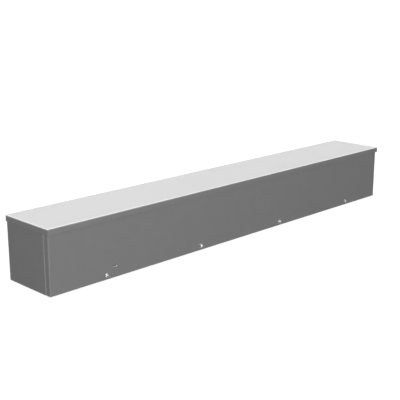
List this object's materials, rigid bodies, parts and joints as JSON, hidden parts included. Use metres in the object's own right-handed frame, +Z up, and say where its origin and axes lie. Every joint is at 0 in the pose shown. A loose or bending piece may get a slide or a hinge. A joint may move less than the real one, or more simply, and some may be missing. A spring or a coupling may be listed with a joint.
{
  "type": "screw cover wireway",
  "caption": "Square sheet-steel cable trough with closed ends, an overhanging drip shield and a slip-on front cover held by screws along its lower edge.",
  "frame": {"origin": "middle of the trough's underside, at half its length and half the depth of the channel", "axes": "+X along the trough, +Y out of the back towards the wall, +Z up; the cover faces -Y"},
  "size_m": [1.2244, 0.1632, 0.1539],
  "materials": {
    "painted_steel": "satin grey powder coat",
    "plated_steel": "bright zinc plate"
  },
  "bodies": {
    "root": {"trough_channel": "painted_steel", "end_plate_left": "painted_steel", "end_plate_right": "painted_steel", "drip_shield": "painted_steel", "front_cover": "painted_steel", "cover_screw_1": "plated_steel", "cover_screw_2": "plated_steel", "cover_screw_3": "plated_steel", "cover_screw_4": "plated_steel"}
  },
  "joints": []
}
